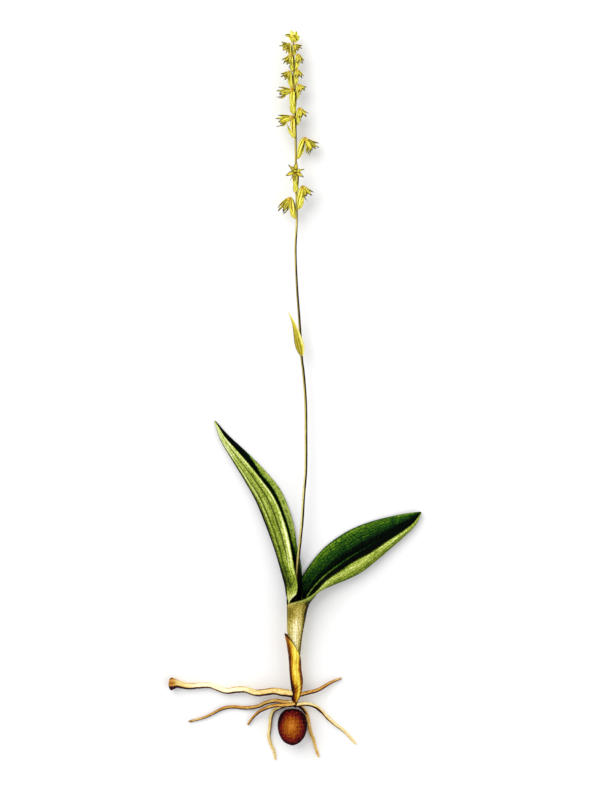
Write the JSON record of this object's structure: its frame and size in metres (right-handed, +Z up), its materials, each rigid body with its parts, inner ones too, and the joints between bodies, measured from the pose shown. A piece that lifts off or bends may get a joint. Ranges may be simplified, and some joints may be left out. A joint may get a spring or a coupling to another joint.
{
  "type": "bare-root musk orchid plant",
  "caption": "Slender flowering orchid plant lying flat, with folded leaves, a nodding green-yellow flower spike, round tuber, creeping stolon and bare roots.",
  "frame": {"origin": "the middle of the flat spot under the tuber, on the surface that the plant lies on", "axes": "+Y from the tuber along the stem to the tip of the spike, +X to the right seen from above, +Z up from the surface"},
  "size_m": [0.0764, 0.2196, 0.0099],
  "materials": {
    "tuber": "dark red-brown fibrous skin, satin",
    "stolon": "cream skin with ochre and brown shading, matt",
    "root": "pale orange-brown skin, matt",
    "stem": "olive green, purple-brown on one side, satin",
    "basal_sheath": "dry golden scale leaf with dark red edges, satin",
    "leaf_right": "deep green above, pale yellow-green below, waxy",
    "leaf_left": "yellow-green with darker green grooves, waxy",
    "stem_bract": "yellow-olive with dark parallel veins, satin",
    "bloom": "lemon yellow to olive, with orange-brown touches, satin",
    "bud": "green-yellow, satin"
  },
  "bodies": {
    "root": {"tuber": "tuber", "stolon": "stolon", "root_1": "root", "root_2": "root", "root_3": "root", "root_4": "root", "root_5": "root", "root_6": "root", "stem": "stem", "basal_sheath": "basal_sheath", "leaf_right": "leaf_right", "leaf_left": "leaf_left", "stem_bract": "stem_bract", "bloom_01": "bloom", "bloom_02": "bloom", "bloom_03": "bloom", "bloom_04": "bloom", "bloom_05": "bloom", "bloom_06": "bloom", "bloom_07": "bloom", "bloom_08": "bloom", "bloom_09": "bloom", "bloom_10": "bloom", "bloom_11": "bloom", "bloom_12": "bloom", "bloom_13": "bloom", "bloom_14": "bloom", "bloom_15": "bloom", "bloom_16": "bloom", "bud_cluster": "bud"}
  },
  "joints": []
}
